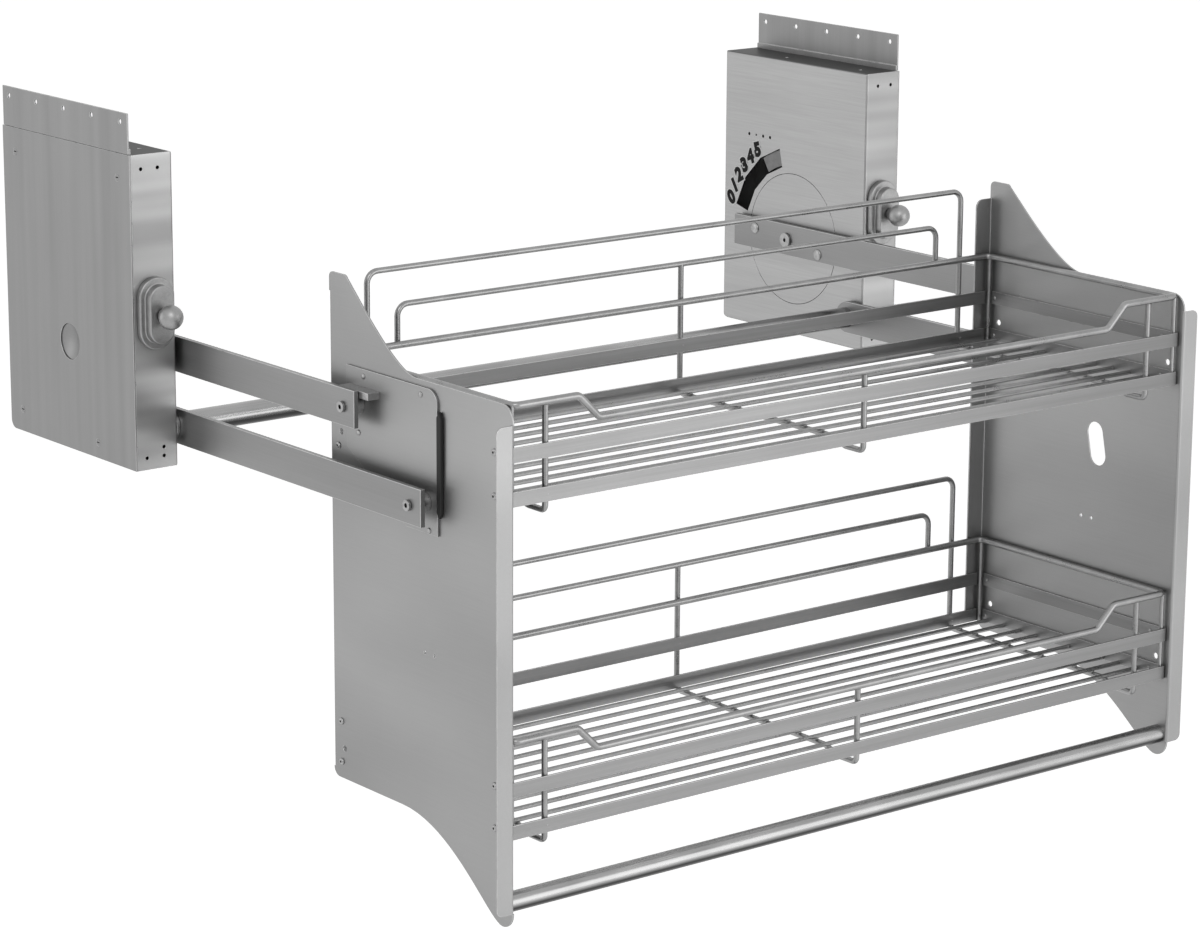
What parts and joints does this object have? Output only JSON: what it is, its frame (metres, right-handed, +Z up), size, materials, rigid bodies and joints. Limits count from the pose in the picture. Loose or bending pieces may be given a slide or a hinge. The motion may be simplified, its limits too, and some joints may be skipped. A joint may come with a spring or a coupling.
{
  "type": "pull-down wardrobe lift",
  "caption": "Pull-down cabinet shelf lift: sprung wall casings with parallel arms carry a tiered wire basket unit between side plates, with a pull bar below.",
  "frame": {"origin": "midway between the two casings, at the height of their bottoms and the depth of their front faces", "axes": "+X across the cabinet to the right as seen from the front, -Y out of the cabinet towards the user, +Z up"},
  "size_m": [0.864, 0.6587, 0.6005],
  "materials": {
    "casing_steel": "satin",
    "plate_steel": "satin",
    "arm_steel": "satin",
    "wire_steel": "satin",
    "tube_steel": "satin",
    "bright_metal": "polished",
    "fastener_steel": "plain",
    "spring_steel": "oiled",
    "buffer_rubber": "matt",
    "nylon": "matt"
  },
  "bodies": {
    "casings": {"left_casing_shell": "casing_steel", "right_casing_shell": "casing_steel", "left_casing_back": "casing_steel", "right_casing_back": "casing_steel", "left_mounting_flange": "casing_steel", "right_mounting_flange": "casing_steel", "casing_pillars": "casing_steel", "left_hub_axle": "fastener_steel", "right_hub_axle": "fastener_steel", "left_lower_pin": "fastener_steel", "right_lower_pin": "fastener_steel", "left_escutcheon": "bright_metal", "right_escutcheon": "bright_metal", "casing_screws": "fastener_steel", "hub_bolts": "fastener_steel", "plunger_springs": "spring_steel"},
    "lower_arms": {"left_lower_arm": "arm_steel", "right_lower_arm": "arm_steel", "cross_tube": "tube_steel", "tube_bushes": "nylon"},
    "shelf": {"left_side_plate": "plate_steel", "right_side_plate": "plate_steel", "left_pivot_bracket": "plate_steel", "right_pivot_bracket": "plate_steel", "upper_basket_front": "wire_steel", "upper_basket_back": "wire_steel", "upper_basket_sides": "wire_steel", "upper_basket_floor": "wire_steel", "lower_basket_front": "wire_steel", "lower_basket_back": "wire_steel", "lower_basket_sides": "wire_steel", "lower_basket_floor": "wire_steel", "pivot_posts": "fastener_steel", "pivot_bolts": "fastener_steel", "stop_tabs": "fastener_steel", "bracket_rivets": "fastener_steel", "buffer_strips": "buffer_rubber", "basket_screws": "fastener_steel", "handle_tube": "tube_steel", "handle_plugs": "nylon", "handle_bolts": "fastener_steel"},
    "left_arm_and_hub": {"left_upper_arm": "arm_steel", "left_hub": "casing_steel", "left_lock_disc": "spring_steel", "left_hub_rivets": "fastener_steel"},
    "left_lock": {"left_lock_knob": "bright_metal", "left_plunger": "fastener_steel"},
    "left_force_setting": {"left_selector": "spring_steel", "left_power_spring": "spring_steel"},
    "right_arm_and_hub": {"right_upper_arm": "arm_steel", "right_hub": "casing_steel", "right_lock_disc": "spring_steel", "right_hub_rivets": "fastener_steel"},
    "right_lock": {"right_lock_knob": "bright_metal", "right_plunger": "fastener_steel"},
    "right_force_setting": {"right_selector": "spring_steel", "right_power_spring": "spring_steel"}
  },
  "joints": [
    {"name": "lower_arm_swing", "type": "hinge", "parent": "casings", "child": "lower_arms", "pos_m": [0, 0.014, 0.0325], "axis": [-1, 0, 0], "range_deg": [-15, 105]},
    {"name": "shelf_levelling", "type": "hinge", "parent": "lower_arms", "child": "shelf", "pos_m": [0, -0.335, 0.0325], "axis": [-1, 0, 0], "range_deg": [-105, 15]},
    {"name": "left_upper_arm_swing", "type": "hinge", "parent": "casings", "child": "left_arm_and_hub", "pos_m": [-0.384, 0.105, 0.0955], "axis": [-1, 0, 0], "range_deg": [-15, 105]},
    {"name": "left_lock_pull", "type": "slide", "parent": "casings", "child": "left_lock", "axis": [0, -1, 0], "range_m": [0, 0.008], "stiffness_N_per_m": 600, "springref_m": -0.01},
    {"name": "left_selector_turn", "type": "hinge", "parent": "casings", "child": "left_force_setting", "pos_m": [-0.4155, 0.105, 0.0955], "axis": [1, 0, 0], "range_deg": [-38, 0]},
    {"name": "right_upper_arm_swing", "type": "hinge", "parent": "casings", "child": "right_arm_and_hub", "pos_m": [0.384, 0.105, 0.0955], "axis": [-1, 0, 0], "range_deg": [-15, 105]},
    {"name": "right_lock_pull", "type": "slide", "parent": "casings", "child": "right_lock", "axis": [0, -1, 0], "range_m": [0, 0.008], "stiffness_N_per_m": 600, "springref_m": -0.01},
    {"name": "right_selector_turn", "type": "hinge", "parent": "casings", "child": "right_force_setting", "pos_m": [0.4155, 0.105, 0.0955], "axis": [1, 0, 0], "range_deg": [-38, 0]}
  ],
  "couplings": [
    {"joint": "shelf_levelling", "follows": "lower_arm_swing", "ratio": -1},
    {"joint": "left_upper_arm_swing", "follows": "lower_arm_swing", "ratio": 1},
    {"joint": "right_upper_arm_swing", "follows": "lower_arm_swing", "ratio": 1}
  ]
}
